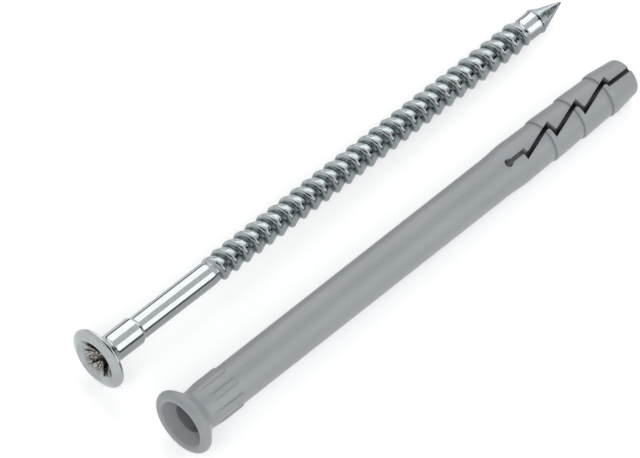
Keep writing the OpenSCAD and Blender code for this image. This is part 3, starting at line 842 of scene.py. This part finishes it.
# %% [markdown]
# ## Softboxes and cards
# Bright metal shows what stands round it. A product studio puts a long softbox on each side of a
# screw, so that two white bands run along it, and sets up cards: dark ones by the camera and at the
# far side give the dark lines between the bands, and a dark and a white one at the far end put the
# black spots and the glints into the thread. Two grey strips lying on the table are painted shadow:
# they stand in for the shadow between the pieces and dim the bands along the screw's lower edges.
# One picture round the whole room could hold all this, but lamps and cards can be moved one by one.
# Only reflections see the cards. Where metal mirrors a softbox, the white room behind it adds to its
# brightness, so it is set low. A third lamp lights the heads, unseen by the metal.


# %% Lamps and cards
AIM_HEIGHT = 0.003


def aim(obj, place, target=(0, 0, AIM_HEIGHT)):
    """Put an object at a place and turn its -Z side to the target."""
    obj.location = place
    obj.rotation_euler = (Vector(target) - Vector(place)).to_track_quat("-Z", "X").to_euler()


def towards(side_deg, distance, x):
    """A place at a distance in the plane across the pieces: the angle goes from straight up
    towards -Y, and x is the shift along the pieces."""
    a = math.radians(side_deg)
    return (x, -distance * math.sin(a), distance * math.cos(a))


def softbox(name, place, length, height, radiance, mirrored=True):
    """An area lamp whose surface has a given brightness: power = pi * area * brightness. A
    mirrored lamp stands square to the pieces, so that its image in the shank is a straight band.
    One that isn't mirrored gives light, but bright metal doesn't show it."""
    lamp = bpy.data.lights.new(name, "AREA")
    lamp.shape = "RECTANGLE"
    lamp.size, lamp.size_y = height, length
    lamp.energy = math.pi * length * height * radiance
    holder = bpy.data.objects.new(name, lamp)
    holder.visible_glossy = mirrored
    bpy.context.scene.collection.objects.link(holder)
    aim(holder, place, (place[0] if mirrored else 0, 0, AIM_HEIGHT))


def card(name, place, length, height, brightness, lying=False):
    """A flat card of even brightness that is seen only in reflections. It faces the pieces, or it
    lies on the table, with its height along X and its length along Y."""
    mesh = bpy.data.meshes.new(name)
    mesh.from_pydata((SQUARE / 2 * [height, length, 1]).tolist(), [], [(0, 1, 2, 3)])
    holder = bpy.data.objects.new(name, mesh)
    bpy.context.scene.collection.objects.link(holder)
    if lying:
        holder.location = place
    else:
        aim(holder, place)
    material = bpy.data.materials.new(name)
    material.use_nodes = True
    material.node_tree.nodes.clear()
    output = material.node_tree.nodes.new("ShaderNodeOutputMaterial")
    glow = material.node_tree.nodes.new("ShaderNodeEmission")
    glow.inputs["Color"].default_value = COOL_WHITE
    glow.inputs["Strength"].default_value = brightness
    material.node_tree.links.new(glow.outputs[0], output.inputs["Surface"])
    mesh.materials.append(material)
    holder.visible_camera = False
    holder.visible_diffuse = False
    holder.visible_shadow = False


RING_X, RING_R, STRIP_LIFT = 0.41, 0.8, 0.0003
softbox("softbox_far_side", towards(-40, RING_R, RING_X), length=0.6, height=0.94, radiance=1.32)
softbox("softbox_near_side", towards(62.5, RING_R, RING_X), length=0.6, height=0.74, radiance=1.32)
softbox("softbox_by_heads", (-0.72, -0.48, 0.7), length=0.8, height=0.8, radiance=2.55,
        mirrored=False)
card("white_card_far_end", (0.9, 0.31, 0.33), length=0.6, height=0.3, brightness=2.25)
card("dark_card_far_side", towards(-82, 1.0, 0.51), length=0.8, height=0.22, brightness=0.2)
card("dark_card_far_end", (0.96, -0.28, 0.13), length=0.47, height=0.37, brightness=0.0)
card("dark_card_by_camera", (-0.487, -0.487, 1.1), length=1.6, height=1.1, brightness=0.03)
# Painted shadow: two grey strips on the table, seen only in reflections, stand in for the shadow
# between the pieces.
card("painted_shadow_strip_near_side", (0.003, 0.0018, STRIP_LIFT), length=0.0115, height=0.084,
     brightness=0.73, lying=True)
card("painted_shadow_strip_far_side", (0.003, 0.014, STRIP_LIFT), length=0.0125, height=0.084,
     brightness=0.78, lying=True)

# %% [markdown]
# ## The camera
# The photograph looks down on the pieces along their length, with a long lens: their sides stay
# almost parallel. An orthographic camera would be close, but a far camera with a long focal length
# keeps the slight narrowing. Its direction follows from the slope of the pieces in the picture and
# the flat ellipses of the mouth and the head.

# %% Camera
AZIMUTH, ELEVATION, DISTANCE = math.radians(-45.395), math.radians(52.173), 2.6
PIXELS_PER_MM, IMAGE_WIDTH, SENSOR = 7.9344, 640, 36.0
TARGET_RIGHT, TARGET_UP = -6.475, -1.875
back = Vector((math.sin(AZIMUTH) * math.cos(ELEVATION),
               -math.cos(AZIMUTH) * math.cos(ELEVATION), math.sin(ELEVATION)))
right = Vector((math.cos(AZIMUTH), math.sin(AZIMUTH), 0))
up = back.cross(right)
target = Vector((0, 0, AIM_HEIGHT)) + MM * (TARGET_RIGHT * right + TARGET_UP * up)
lens = bpy.data.cameras.new("long_lens")
lens.sensor_width = SENSOR
lens.lens = SENSOR * DISTANCE / (IMAGE_WIDTH / PIXELS_PER_MM * MM)
lens.clip_start, lens.clip_end = 0.05, 20
camera = bpy.data.objects.new("long_lens", lens)
bpy.context.scene.collection.objects.link(camera)
camera.location = target + DISTANCE * back
camera.rotation_euler = (-back).to_track_quat("-Z", "Y").to_euler()
bpy.context.scene.camera = camera
bpy.context.scene.view_settings.view_transform = "Standard"
print("focal length:", round(lens.lens, 1), "mm")
